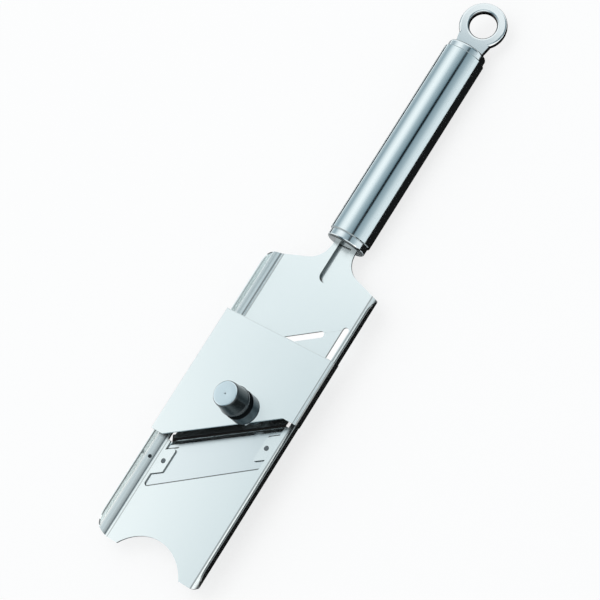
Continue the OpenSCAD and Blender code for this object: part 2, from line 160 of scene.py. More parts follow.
class Sheet:
    """A node tree that is filled through one method."""

    def __init__(self, tree: bpy.types.NodeTree) -> None:
        """Empties the tree.

        Args:
            tree: the tree.
        """
        self.tree = tree
        self.tree.nodes.clear()

    def add(
        self,
        kind: str,
        settings: dict[str, object] | None = None,
        inputs: dict[int | str, object] | None = None,
    ) -> bpy.types.Node:
        """Adds one node.

        Args:
            kind: the node's type.
            settings: its properties, set before its inputs; "stops" fills a ramp.
            inputs: values or wires for its sockets, by name or number.

        Returns:
            The node.
        """
        made = self.tree.nodes.new(kind)
        for key, value in (settings or {}).items():
            if key == "stops":
                self._fill_ramp(made, value)
            else:
                setattr(made, key, value)
        for key, value in (inputs or {}).items():
            if isinstance(value, Wire):
                self.join(value, made.inputs[key])
            else:
                made.inputs[key].default_value = value
        return made

    def node(
        self,
        kind: str,
        settings: dict[str, object] | None = None,
        inputs: dict[int | str, object] | None = None,
        output: int | str = 0,
    ) -> Wire:
        """Adds one node and wraps one of its outputs.

        Args:
            kind: the node's type.
            settings: its properties.
            inputs: values or wires for its sockets.
            output: the output that is returned.

        Returns:
            The chosen output.
        """
        return Wire(self, self.add(kind, settings, inputs).outputs[output])

    def join(self, value: Wire, socket: bpy.types.NodeSocket) -> None:
        """Links a wire to a socket.

        Args:
            value: what feeds it.
            socket: the input.
        """
        self.tree.links.new(value.socket, socket)

    @staticmethod
    def _fill_ramp(made: bpy.types.Node, stops: Profile) -> None:
        """Sets a grey ramp's stops.

        Args:
            made: the ramp node.
            stops: position and brightness of each stop.
        """
        ramp = made.color_ramp
        while len(ramp.elements) < len(stops):
            ramp.elements.new(0.5)
        for element, (place, grey) in zip(ramp.elements, stops):
            element.position = place
            element.color = (grey, grey, grey, 1.0)


class Recipe(Sheet):
    """The node tree of one material, filled by the finishes."""

    def __init__(self, name: str) -> None:
        """Starts a material with a Principled shader.

        Args:
            name: the material's name.
        """
        self.material = bpy.data.materials.new(name)
        self.material.use_nodes = True
        super().__init__(self.material.node_tree)
        self.shader = self.add("ShaderNodeBsdfPrincipled")
        self.output = self.add("ShaderNodeOutputMaterial")
        self.surface(self.plain())

    def plain(self) -> Wire:
        """The Principled shader's own surface."""
        return Wire(self, self.shader.outputs["BSDF"])

    def surface(self, value: Wire) -> None:
        """Links a wire to the material's surface.

        Args:
            value: what the surface shows.
        """
        self.join(value, self.output.inputs["Surface"])

    def place(self, stretch: Point = (1.0, 1.0, 1.0)) -> Wire:
        """Object coordinates, stretched.

        Args:
            stretch: the factor on each axis.

        Returns:
            The mapped coordinates.
        """
        raw = self.node("ShaderNodeTexCoord", output="Object")
        return self.node("ShaderNodeVectorMath", {"operation": "MULTIPLY"}, {0: raw, 1: stretch})

    def noise(self, where: Wire, scale: float, detail: float = 2.0, rough: float = 0.5) -> Wire:
        """Noise from 0 to 1.

        Args:
            where: the coordinates that it reads.
            scale: its scale, per metre.
            detail: its octaves.
            rough: how strong the fine octaves are.

        Returns:
            The noise value.
        """
        sockets = {"Vector": where, "Scale": scale, "Detail": detail, "Roughness": rough}
        return self.node("ShaderNodeTexNoise", {"noise_dimensions": "3D"}, sockets, "Fac")

    def blend(self, share: Wire, a: Colour, b: Colour) -> Wire:
        """A colour between two.

        Args:
            share: 0 gives a, 1 gives b.
            a: the first colour.
            b: the second colour.

        Returns:
            The mixed colour.
        """
        sockets = {0: share, 6: (*a, 1.0), 7: (*b, 1.0)}
        return self.node("ShaderNodeMix", {"data_type": "RGBA"}, sockets, 2)

    def value(self, number: float) -> Wire:
        """A constant as a wire.

        Args:
            number: the constant.

        Returns:
            Its wire.
        """
        return self.node("ShaderNodeMath", {"operation": "ADD"}, {0: number, 1: 0.0})

    def axes(self, vector: Wire) -> tuple[Wire, ...]:
        """Splits a vector.

        Args:
            vector: the vector.

        Returns:
            Its X, Y and Z.
        """
        return tuple(self.node("ShaderNodeSeparateXYZ", {}, {0: vector}, axis) for axis in "XYZ")

    def dim(self, colour: Wire, darkness: Wire) -> Wire:
        """Darkens a colour.

        Args:
            colour: the colour.
            darkness: 0 leaves it, 1 makes it black.

        Returns:
            The darkened colour.
        """
        kept = 1.0 - darkness
        return self.node("ShaderNodeVectorMath", {"operation": "SCALE"}, {0: colour, "Scale": kept})

    def feed(self, socket: str, value: Wire) -> None:
        """Links a wire to the shader.

        Args:
            socket: the shader's socket.
            value: what feeds it.
        """
        self.join(value, self.shader.inputs[socket])

    def fix(self, **values: object) -> None:
        """Sets constants on the shader's own sockets.

        Args:
            values: socket names, with _ for a space, and their values.
        """
        for key, value in values.items():
            self.shader.inputs[key.replace("_", " ")].default_value = value

    def bump(self, height: Wire, depth: float, strength: float = 1.0) -> None:
        """Feeds a height pattern to the shader's normal.

        Args:
            height: the pattern.
            depth: its height in metres.
            strength: how much of it shows.
        """
        sockets = {"Height": height, "Distance": depth, "Strength": strength}
        self.feed("Normal", self.node("ShaderNodeBump", {}, sockets, "Normal"))


# ---- Finishes ----


@dataclass(frozen=True)
class BrushedSteel:
    """Rolled or ground stainless steel with fine parallel lines.

    Attributes:
        name: the material's name.
        bright: its lightest colour.
        dull: its darkest colour.
        roughness: its middle roughness.
        along: the direction of the lines.
        lines: how many lines there are to a metre.
        depth: the lines' depth in metres.
        spread: how much the roughness varies.
        patches: how many patches left by handling there are to a metre.
        specks: how many fine specks there are to a metre.
        tone_mix: how much of the tone is fixed, comes from the lines and from the patches.
        rough_mix: how much of the spread comes from the lines, the patches and the specks.
        speck_depth: the specks' depth as a share of the lines'.
        darkest: the most that a mark darkens the metal.
    """

    name: str
    bright: Colour
    dull: Colour
    roughness: float
    along: Along = Along.LENGTH
    lines: float = 2600.0
    depth: float = 0.0000015
    spread: float = 0.05
    patches: float = 28.0
    specks: float = 900.0
    tone_mix: tuple[float, float, float] = (0.35, 0.3, 0.35)
    rough_mix: tuple[float, float, float] = (1.0, 0.6, 0.2)
    speck_depth: float = 0.15
    darkest: float = 0.97

    def material(self) -> bpy.types.Material:
        """Builds the material.

        Returns:
            The finished material.
        """
        sheet = Recipe(self.name)
        lines = sheet.noise(sheet.place(self.along.value), self.lines, detail=3.0, rough=0.6)
        patches = sheet.noise(sheet.place(), self.patches, detail=3.0, rough=0.55)
        specks = sheet.noise(sheet.place(), self.specks)
        fixed, by_lines, by_patches = self.tone_mix
        tone = (fixed + by_lines * lines + by_patches * patches).clamp()
        colour = sheet.blend(tone, self.dull, self.bright)
        sheet.feed("Base Color", sheet.dim(colour, self.marks(sheet).clamp(0.0, self.darkest)))
        sheet.fix(Metallic=1.0)
        rough = sheet.value(self.roughness)
        for share, pattern in zip(self.rough_mix, (lines, patches, specks)):
            rough = rough + share * self.spread * (pattern - 0.5)
        sheet.feed("Roughness", rough.clamp(0.02, 0.9))
        sheet.bump(lines + self.speck_depth * specks, self.depth, strength=0.6)
        return sheet.material

    def marks(self, sheet: Recipe) -> Wire:
        """How much darker each place is than the plain metal.

        Args:
            sheet: the recipe that the marks are added to.

        Returns:
            The darkness, from 0 for none to 1 for black.
        """
        return sheet.value(0.0)


@dataclass(frozen=True)
class ShadeStreak:
    """A painted dark streak along a bent sheet: painted shade at a bend.

    Attributes:
        x: where its middle lies across the sheet.
        inner: its reach towards the middle plane.
        outer: its reach towards the rim.
        dark: how dark its middle is.
    """

    x: float
    inner: float
    outer: float
    dark: float

    def darkness(self, x: Wire) -> Wire:
        """How dark the streak makes each place.

        Args:
            x: the place across the sheet, growing outwards.

        Returns:
            The darkness.
        """
        inside = ((x - (self.x - self.inner)) * (1.0 / self.inner)).clamp()
        outside = (((self.x + self.outer) - x) * (1.0 / self.outer)).clamp()
        return inside * outside * self.dark


@dataclass(frozen=True)
class BentSheet(BrushedSteel):
    """Brushed sheet with painted shade: dark streaks along its bends, and dark lines under its rims
    and on its cut edges.

    Attributes:
        low: the streaks of the left-hand side's lower half.
        high: the streaks of the left-hand side's upper half.
        right: the streaks of the right-hand side.
        part_y: where the two halves part.
        rim_z: height of the rims.
        rim_x: how far the rims reach from the middle plane.
        rim_line: how far the painted dark line reaches below the rims.
        rim_dark: how dark it is on the lower and the upper half.
        edge_x: half the width of the panel whose cut edges get painted shade.
        edge_dark: how dark the painted shade on the cut edges is.
        upright: the steepest slant of a cut edge, as its normal's height.
        facing: the least length along the slicer of the normal of an end that is cut.
    """

    low: tuple[ShadeStreak, ...] = (
        ShadeStreak(0.0352, 0.0010, 0.0024, 0.66),
        ShadeStreak(0.0380, 0.0020, 0.0018, 0.12),
        ShadeStreak(0.0395, 0.0005, 0.0004, 0.20),
        ShadeStreak(0.0330, 0.0006, 0.0006, 0.40),
    )
    high: tuple[ShadeStreak, ...] = (
        ShadeStreak(0.0359, 0.0006, 0.0008, 0.75),
        ShadeStreak(0.0343, 0.0007, 0.0007, 0.50),
        ShadeStreak(0.0381, 0.0009, 0.0012, 0.20),
    )
    right: tuple[ShadeStreak, ...] = (
        ShadeStreak(0.0343, 0.0008, 0.0009, 0.66),
        ShadeStreak(0.0392, 0.0022, 0.0050, 0.95),
    )
    part_y: float = -0.060
    rim_z: float = 0.0189
    rim_x: float = 0.0403
    rim_line: float = 0.0007
    rim_dark: tuple[float, float] = (0.7, 0.3)
    edge_x: float = 0.036
    edge_dark: float = 0.8
    upright: float = 0.3
    facing: float = 0.5

    def marks(self, sheet: Recipe) -> Wire:
        """The painted shade lines.

        Args:
            sheet: the recipe that the marks are added to.

        Returns:
            The darkness.
        """
        # Painted shade: the streaks, the rim lines and the cut edges are darkened to stand in for
        # the shade and dark reflections there.
        x, y, z = sheet.axes(sheet.place())
        _, front, up = sheet.axes(sheet.node("ShaderNodeTexCoord", output="Normal"))
        out = x.size()
        upper = y > self.part_y
        low, high = (self._sum(sheet, streaks, -1.0 * x) for streaks in (self.low, self.high))
        left = low + upper * (high - low)
        right = self._sum(sheet, self.right, x)
        rim_low, rim_high = self.rim_dark
        rim = (z > self.rim_z - self.rim_line) * (out < self.rim_x)
        edge = (up.size() < self.upright) * (out < self.edge_x)
        end = front.size() > self.facing
        cuts = (edge + end) * self.edge_dark
        return left + right + rim * (rim_low + (rim_high - rim_low) * upper) + cuts

    @staticmethod
    def _sum(sheet: Recipe, streaks: tuple[ShadeStreak, ...], x: Wire) -> Wire:
        """Adds streaks up.

        Args:
            sheet: the recipe that they are added to.
            streaks: the streaks.
            x: the place across the sheet, growing outwards.

        Returns:
            Their darkness.
        """
        total = sheet.value(0.0)
        for streak in streaks:
            total = total + streak.darkness(x)
        return total


@dataclass(frozen=True)
class PlateSteel(BrushedSteel):
    """Brushed sheet with painted shade on its underside, on its lips' outer faces and along its
    right-hand bend, and a little darker towards the back.

    Attributes:
        under_z: height below which the underside gets painted shade.
        under_x: how far from the middle plane it reaches.
        under_dark: how dark it is.
        lip_x: how far from the middle plane the painted shade on the lips' outer faces starts.
        lip_dark: how dark that face is.
        bend: the painted shade streak along the right-hand bend.
        back_y: the place along the slicer beyond which the plate is a little darker.
        back_dark: how much darker it is there.
    """

    under_z: float = 0.02085
    under_x: float = 0.0405
    under_dark: float = 0.93
    lip_x: float = 0.0414
    lip_dark: float = 0.6
    bend: ShadeStreak = ShadeStreak(0.0398, 0.0006, 0.0006, 0.62)
    back_y: float = -0.0433
    back_dark: float = 0.10

    def marks(self, sheet: Recipe) -> Wire:
        """The painted shade on the underside, the lips and the bend, and the darker back.

        Args:
            sheet: the recipe that the marks are added to.

        Returns:
            The darkness.
        """
        x, y, z = sheet.axes(sheet.place())
        # Painted shade: the underside is darkened to stand in for the shade under the bridge, the
        # lips and the bend for their dark outlines.
        under = (z < self.under_z) * (x.size() < self.under_x) * self.under_dark
        lips = (x.size() > self.lip_x) * self.lip_dark
        back = (y > self.back_y) * self.back_dark
        return under + lips + self.bend.darkness(x) + back


@dataclass(frozen=True)
class BandedSteel(BrushedSteel):
    """Brushed steel with dark bands round it: dark joint lines on the handle, painted shade on the
    collar.

    Attributes:
        bands: the start, the end and the darkness of each band along its axis.
        axis: the number of that axis.
    """

    bands: tuple[tuple[float, float, float], ...] = ()
    axis: int = 1

    def marks(self, sheet: Recipe) -> Wire:
        """The dark bands.

        Args:
            sheet: the recipe that the marks are added to.

        Returns:
            The darkness.
        """
        along = sheet.axes(sheet.place())[self.axis]
        total = sheet.value(0.0)
        for start, stop, dark in self.bands:
            total = total + (along > start) * (along < stop) * dark
        return total


@dataclass(frozen=True)
class RingSteel(BrushedSteel):
    """Polished steel of the hanging ring, with painted shade on its eye's wall and round its rim.

    Attributes:
        centre_y: where the eye's middle lies along the slicer.
        centre_z: how high it lies.
        turn: the ring's turn about the handle's axis, in degrees.
        eye: radius below which the eye's wall gets painted shade.
        eye_dark: how dark that wall is.
        rim: radius beyond which the rim gets painted shade.
        rim_dark: how dark that painted shade is.
        neck_y: where the ring's neck ends and its rim starts.
    """

    centre_y: float = 0.17692
    centre_z: float = 0.013
    turn: float = 20.0
    eye: float = 0.0088
    eye_dark: float = 0.85
    rim: float = 0.0138
    rim_dark: float = 0.6
    neck_y: float = 0.1665

    def marks(self, sheet: Recipe) -> Wire:
        """The painted shade on the eye and the rim.

        Args:
            sheet: the recipe that the marks are added to.

        Returns:
            The darkness.
        """
        x, y, z = sheet.axes(sheet.place())
        turn = math.radians(self.turn)
        across = x * math.cos(turn) - (z - self.centre_z) * math.sin(turn)
        reach = (across**2.0 + (y - self.centre_y) ** 2.0) ** 0.5
        # Painted shade: the eye's wall and the outer rim are darkened to stand in for their shade
        # and dark outline.
        rim = (reach > self.rim) * (y > self.neck_y)
        return (reach < self.eye) * self.eye_dark + rim * self.rim_dark


@dataclass(frozen=True)
class BladeSteel(BrushedSteel):
    """Blade steel with a painted shadow where it comes out from under the deck, and along its tabs'
    ends.

    Attributes:
        shadow_y: where the painted shadow's line crosses the middle plane.
        shadow_slope: that line's slope over X.
        shadow_w: how far the painted shadow reaches past that line.
        shadow_dark: how dark the painted shadow is.
        tab_y: where the line of the tabs' ends crosses the middle plane.
        tab_slope: that line's slope over X.
        tab_x: how far from the middle plane the tabs reach in.
        tab_line: half the width of the painted shadow line at a tab's end.
        tab_dark: how dark that seam is.
    """

    shadow_y: float = -0.1358
    shadow_slope: float = math.tan(math.radians(34.0))
    shadow_w: float = 0.0013
    shadow_dark: float = 0.75
    tab_y: float = -0.1112
    tab_slope: float = math.tan(math.radians(32.2))
    tab_x: float = 0.0243
    tab_line: float = 0.0005
    tab_dark: float = 0.8

    def marks(self, sheet: Recipe) -> Wire:
        """The painted shadow lines.

        Args:
            sheet: the recipe that the marks are added to.

        Returns:
            The darkness.
        """
        x, y, _ = sheet.axes(sheet.place())
        # Painted shadow: the blade is darkened under the deck's edge and just past it, and along
        # the tabs' ends, where shade falls in the gap.
        front = y - x * self.shadow_slope < self.shadow_y + self.shadow_w
        near = (y - x * self.tab_slope - self.tab_y).size() < self.tab_line
        tabs = near * (x.size() > self.tab_x)
        return front * self.shadow_dark + tabs * self.tab_dark


@dataclass(frozen=True)
class TurnedKnob(BrushedSteel):
    """Turned steel with a bright faced end, much darker below it, and with painted shade at its
    neck.

    Attributes:
        face_z: height where the bright face starts.
        dark: how much darker the rest is.
        waist_z: height below which the neck gets painted shade, darker still.
        waist_dark: how much darker that painted shade is.
    """

    face_z: float = 0.0464
    dark: float = 0.905
    waist_z: float = 0.0343
    waist_dark: float = 0.10

    def marks(self, sheet: Recipe) -> Wire:
        """Darkens all but the faced end.

        Args:
            sheet: the recipe that the marks are added to.

        Returns:
            The darkness.
        """
        _, _, z = sheet.axes(sheet.place())
        # Painted shade: the neck is darkened further to stand in for the shade in its recess.
        return (z < self.face_z) * self.dark + (z < self.waist_z) * self.waist_dark


@dataclass(frozen=True)
class WeldMetal:
    """Dull, slightly burnt metal of a weld.

    Attributes:
        name: the material's name.
        clean: the colour of its clean parts.
        burnt: the colour of its heat marks.
        grain: how many grains there are to a metre.
        depth: the grains' height in metres.
        smooth: its least roughness.
        spread: how much rougher the clean parts are.
    """

    name: str
    clean: Colour = (0.30, 0.31, 0.33)
    burnt: Colour = (0.08, 0.085, 0.095)
    grain: float = 1400.0
    depth: float = 0.00004
    smooth: float = 0.38
    spread: float = 0.25

    def material(self) -> bpy.types.Material:
        """Builds the material.

        Returns:
            The finished material.
        """
        sheet = Recipe(self.name)
        grains = sheet.noise(sheet.place(), self.grain, detail=3.0, rough=0.6)
        sheet.feed("Base Color", sheet.blend(grains.clamp(), self.burnt, self.clean))
        sheet.fix(Metallic=1.0)
        sheet.feed("Roughness", (self.smooth + self.spread * grains).clamp())
        sheet.bump(grains, self.depth, strength=0.7)
        return sheet.material


@dataclass(frozen=True)
class MouldedPlastic:
    """Matt moulded plastic.

    Attributes:
        name: the material's name.
        colour: its colour.
        grain: how many grains there are to a metre.
        depth: the grains' height in metres.
        shade: how bright the hollows are, as a share of the colour.
        smooth: its least roughness.
        spread: how much rougher the grains' tops are.
    """

    name: str
    colour: Colour
    grain: float = 1800.0
    depth: float = 0.00002
    shade: float = 0.8
    smooth: float = 0.5
    spread: float = 0.15

    def material(self) -> bpy.types.Material:
        """Builds the material.

        Returns:
            The finished material.
        """
        sheet = Recipe(self.name)
        grains = sheet.noise(sheet.place(), self.grain)
        hollow = tuple(self.shade * part for part in self.colour)
        sheet.feed("Base Color", sheet.blend(grains.clamp(), hollow, self.colour))
        sheet.feed("Roughness", (self.smooth + self.spread * grains).clamp())
        sheet.bump(grains, self.depth, strength=0.4)
        return sheet.material


@dataclass
class Finishes:
    """Every finish of the slicer, built once.

    Attributes:
        sheet: the deck and tongue.
        plate: the bridge.
        blade: the blade.
        knob: the knob.
        collar: the collar and pad.
        tube: the handle's tube.
        polished: the hanging ring.
        capped: the caps.
        hardware: nuts, pins and the screw.
        weld: the weld beads.
        rivet: the rivets' dished ends.
        burnt: the press mark, nearly black.
        plug: the filling of the handle.
    """

    sheet: bpy.types.Material = field(init=False)
    plate: bpy.types.Material = field(init=False)
    blade: bpy.types.Material = field(init=False)
    knob: bpy.types.Material = field(init=False)
    collar: bpy.types.Material = field(init=False)
    tube: bpy.types.Material = field(init=False)
    polished: bpy.types.Material = field(init=False)
    capped: bpy.types.Material = field(init=False)
    hardware: bpy.types.Material = field(init=False)
    weld: bpy.types.Material = field(init=False)
    rivet: bpy.types.Material = field(init=False)
    burnt: bpy.types.Material = field(init=False)
    plug: bpy.types.Material = field(init=False)

    def __post_init__(self) -> None:
        """Builds the materials."""
        ground = {"depth": 0.0000006, "spread": 0.03}
        rolled = {"roughness": 0.26, "lines": 2400.0, **ground}
        turned = {"along": Along.ROUND_Z, "lines": 3000.0}
        silver = {"bright": (0.84, 0.92, 0.93), "dull": (0.80, 0.89, 0.90)}
        self.sheet = BentSheet("deck steel", **silver, **rolled).material()
        self.plate = PlateSteel("bridge steel", **silver, **rolled).material()
        self.blade = BladeSteel(
            "blade steel",
            bright=(0.80, 0.88, 0.90),
            dull=(0.74, 0.83, 0.85),
            roughness=0.22,
            along=Along.WIDTH,
            lines=3000.0,
            **ground,
        ).material()
        self.knob = TurnedKnob(
            "knob steel",
            bright=(0.70, 0.83, 0.88),
            dull=(0.60, 0.73, 0.79),
            roughness=0.24,
            depth=0.000001,
            spread=0.06,
            **turned,
        ).material()
        # Painted shade: the collar's nearly black colour and its darker bands, at the plate and
        # under the knob, stand in for the shade there.
        self.collar = BandedSteel(
            "collar steel",
            bright=(0.070, 0.095, 0.107),
            dull=(0.044, 0.062, 0.071),
            roughness=0.26,
            bands=((0.0210, 0.0224, 0.80), (0.0294, 0.0310, 0.93)),
            axis=2,
            **turned,
        ).material()
        self.tube = BandedSteel(
            "tube steel",
            bright=(0.74, 0.85, 0.88),
            dull=(0.70, 0.81, 0.84),
            roughness=0.11,
            lines=3200.0,
            bands=((0.0270, 0.02765, 0.55), (0.1548, 0.1554, 0.5)),
            **ground,
        ).material()
        self.capped = BandedSteel(
            "cap steel",
            bright=(0.78, 0.87, 0.90),
            dull=(0.73, 0.83, 0.86),
            roughness=0.12,
            lines=3200.0,
            bands=((0.0210, 0.0228, 0.85), (0.0266, 0.0330, 0.3), (0.1590, 0.1610, 0.7)),
            **ground,
        ).material()
        self.polished = RingSteel(
            "polished steel",
            bright=(0.84, 0.91, 0.93),
            dull=(0.78, 0.86, 0.88),
            roughness=0.10,
            along=Along.WIDTH,
            lines=3600.0,
            **ground,
        ).material()
        self.hardware = BrushedSteel(
            "plain steel",
            bright=(0.50, 0.54, 0.56),
            dull=(0.36, 0.40, 0.42),
            roughness=0.34,
            along=Along.WIDTH,
            lines=2500.0,
        ).material()
        self.weld = WeldMetal("weld metal").material()
        self.rivet = WeldMetal("rivet metal", (0.24, 0.28, 0.30), (0.10, 0.12, 0.13)).material()
        self.burnt = WeldMetal("nearly black metal", (0.055, 0.07, 0.08), (0.008, 0.010, 0.012)).material()
        self.plug = MouldedPlastic("handle filling", (0.05, 0.052, 0.055)).material()

    def dress(self, material: bpy.types.Material, *nodes: str) -> None:
        """Gives solids of the frame a finish.

        Args:
            material: the finish.
            nodes: the solids' names.
        """
        for name in nodes:
            solid = bpy.data.objects[name]
            solid.data.materials.clear()
            solid.data.materials.append(material)
            LOG.info("dressed %s in %s", name, material.name)


# ---- Mesh work shared by the pieces ----


def arc(
    centre: tuple[float, float],
    radius: float,
    start: float,
    stop: float,
    steps: int = 5,
) -> list[tuple[float, float]]:
    """Points of an arc in a profile.

    Args:
        centre: its centre.
        radius: its radius.
        start: its first angle in degrees.
        stop: its last angle in degrees.
        steps: the number of stretches.

    Returns:
        The points.
    """
    turns = (math.radians(start + (stop - start) * k / steps) for k in range(steps + 1))
    return [(centre[0] + radius * math.cos(t), centre[1] + radius * math.sin(t)) for t in turns]


def stand(name: str, mesh: bmesh.types.BMesh, material: bpy.types.Material) -> bpy.types.Object:
    """Makes a mesh into an object of the scene and frees it.

    Args:
        name: the object's name.
        mesh: its shape.
        material: its finish.

    Returns:
        The object.
    """
    data = bpy.data.meshes.new(name)
    mesh.to_mesh(data)
    mesh.free()
    made = bpy.data.objects.new(name, data)
    bpy.context.scene.collection.objects.link(made)
    data.materials.append(material)
    return made


class Piece:
    """One new mesh, from its first vertices to its place on a body.

    Attributes:
        joined: distance in metres within which split vertices are joined.
        flat: angle below which two faces count as one.
        crease: angle from which an edge is shaded sharp.
    """

    joined: float = 2e-6
    flat: float = math.radians(0.5)
    crease: float = math.radians(35.0)

    def __init__(self, name: str) -> None:
        """Starts an empty piece.

        Args:
            name: the object's name.
        """
        self.name = name
        self.mesh = bmesh.new()

    def lathe(self, profile: Profile, steps: int) -> "Piece":
        """Turns a profile about Z.

        Args:
            profile: radius and height of each point, in millimetres.
            steps: the number of sides.

        Returns:
            This piece.
        """
        verts = [self.mesh.verts.new((r * MM, 0.0, z * MM)) for r, z in profile]
        edges = [self.mesh.edges.new(pair) for pair in zip(verts, verts[1:])]
        bmesh.ops.spin(
            self.mesh,
            geom=verts + edges,
            cent=(0.0, 0.0, 0.0),
            axis=(0.0, 0.0, 1.0),
            angle=math.tau,
            steps=steps,
            use_merge=True,
            use_duplicate=False,
        )
        bmesh.ops.remove_doubles(self.mesh, verts=self.mesh.verts, dist=1e-7)
        bmesh.ops.recalc_face_normals(self.mesh, faces=self.mesh.faces)
        return self

    def soften(self, width: float, segments: int = 3, sharp: float = 25.0) -> "Piece":
        """Rounds the edges that turn by more than an angle.

        Args:
            width: the bevel's width in millimetres.
            segments: the bevel's segments.
            sharp: the least angle in degrees.

        Returns:
            This piece.
        """
        limit = math.radians(sharp)
        edges = [e for e in self.mesh.edges if e.is_manifold and e.calc_face_angle(0.0) > limit]
        bmesh.ops.bevel(
            self.mesh,
            geom=edges,
            offset=width * MM,
            offset_type="OFFSET",
            affect="EDGES",
            segments=segments,
            profile=0.5,
            material=-1,
            clamp_overlap=True,
        )
        return self

    def copy(self, node: str) -> "Piece":
        """Starts from a solid of the frame, with its split vertices joined.

        Args:
            node: the solid's name.

        Returns:
            This piece.
        """
        self.mesh.from_mesh(bpy.data.objects[node].data)
        bmesh.ops.remove_doubles(self.mesh, verts=self.mesh.verts, dist=self.joined)
        bmesh.ops.dissolve_limit(
            self.mesh, angle_limit=self.flat, verts=self.mesh.verts, edges=self.mesh.edges
        )
        return self

    def join(self, other: "Piece") -> "Piece":
        """Takes another piece's mesh in.

        Args:
            other: the piece that ends in this one.

        Returns:
            This piece.
        """
        data = bpy.data.meshes.new(other.name)
        other.mesh.to_mesh(data)
        other.mesh.free()
        self.mesh.from_mesh(data)
        bpy.data.meshes.remove(data)
        return self

    def move(self, place: Vector, turn: Matrix | None = None) -> "Piece":
        """Turns the mesh and moves it to its place.

        Args:
            place: where its origin goes, in metres.
            turn: a rotation about its origin, made first.

        Returns:
            This piece.
        """
        if turn is not None:
            bmesh.ops.transform(self.mesh, matrix=turn.to_4x4(), verts=self.mesh.verts)
        bmesh.ops.translate(self.mesh, vec=place, verts=self.mesh.verts)
        return self

    def finish(self, material: bpy.types.Material, body: str, slot: str) -> bpy.types.Object:
        """Makes the object and hangs it on a body.

        Args:
            material: its finish.
            body: the body that it moves with.
            slot: the record's material slot, not used.

        Returns:
            The object.
        """
        for face in self.mesh.faces:
            face.smooth = True
        for edge in self.mesh.edges:
            edge.smooth = not edge.is_manifold or edge.calc_face_angle(0.0) < self.crease
        piece = stand(self.name, self.mesh, material)
        weights = piece.modifiers.new("even faces", "WEIGHTED_NORMAL")
        weights.keep_sharp = True
        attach(piece, body)
        LOG.info("built %s on %s, %d faces", self.name, body, len(piece.data.polygons))
        return piece


# ---- Sub-assemblies ----


@dataclass
class Deck:
    """The long bent sheet with its tongue and blade.

    Attributes:
        finishes: the finishes it is dressed in.
        top: height of the panel's upper face, in millimetres.
        middle: half of the slicer's length.
        slant: angle of the cutting edge across the deck, in degrees.
        tab_y: where the middle of the welding tabs crosses the middle plane, from the feet.
        rivet_x: the rivets' distance from the middle plane.
        rivet_r: their radius.
        rivet_low: height of their lower ends.
        rivet_sink: how far their upper ends lie under the panel's upper face.
        rim_r: radius of the rounding round their upper ends.
        dish: radius and depth of the dish's side, and its depth at the middle.
        mark: the press mark's place across, along from the feet, and above the panel.
        mark_turn: the flare's slope where the mark lies, in degrees.
        mark_profile: radius and height of each point of the mark.
    """

    finishes: Finishes
    top: float = 12.6
    middle: float = 191.12
    slant: float = 32.2
    tab_y: float = 71.15
    rivet_x: float = 27.9
    rivet_r: float = 1.5
    rivet_low: float = 10.7
    rivet_sink: float = 0.15
    rim_r: float = 0.3
    dish: tuple[float, float, float] = (0.55, 0.42, 0.46)
    mark: Point = (-37.1, 52.0, 0.99)
    mark_turn: float = 25.0
    mark_profile: Profile = ((1.15, -0.05), (1.1, 0.03), (0.9, 0.07), (0.5, 0.04), (0.0, 0.03))

    def build(self) -> None:
        """Dresses the sheet and adds its small marks."""
        self.finishes.dress(self.finishes.sheet, "deck_channel", "thickness_tongue")
        self.finishes.dress(self.finishes.blade, "blade")
        self._rivets()
        self._mark()

    def _rivets(self) -> None:
        """Makes the two rivets that hold the blade, each with a dished end."""
        low, high = self.rivet_low, self.top - self.rivet_sink
        radius, depth, middle = self.dish
        profile = [(0.0, low), (self.rivet_r, low), (self.rivet_r, high - 0.4 * self.rim_r)]
        rim = (self.rivet_r - self.rim_r, high - self.rim_r)
        profile += arc(rim, self.rim_r, start=30.0, stop=120.0, steps=3)
        profile += [(radius, high - depth), (0.0, high - middle)]
        pair = Piece("dished_rivets")
        for side in (-1, 1):
            x = side * self.rivet_x
            y = self.tab_y + x * math.tan(math.radians(self.slant)) - self.middle
            pair.join(Piece("rivet").lathe(profile, steps=40).move(Vector((x, y, 0.0)) * MM))
        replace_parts(pair.finish(self.finishes.rivet, "frame", "weld_steel"), "blade_rivets")

    def _mark(self) -> None:
        """Presses the small round mark into the left-hand flare."""
        x, y, lift = self.mark
        turn = Matrix.Rotation(math.radians(self.mark_turn), 3, "Y")
        place = Vector((x, y - self.middle, self.top + lift)) * MM
        mark = Piece("press_mark").lathe(self.mark_profile, steps=32).move(place, turn)
        mark.finish(self.finishes.burnt, "frame", "weld_steel")


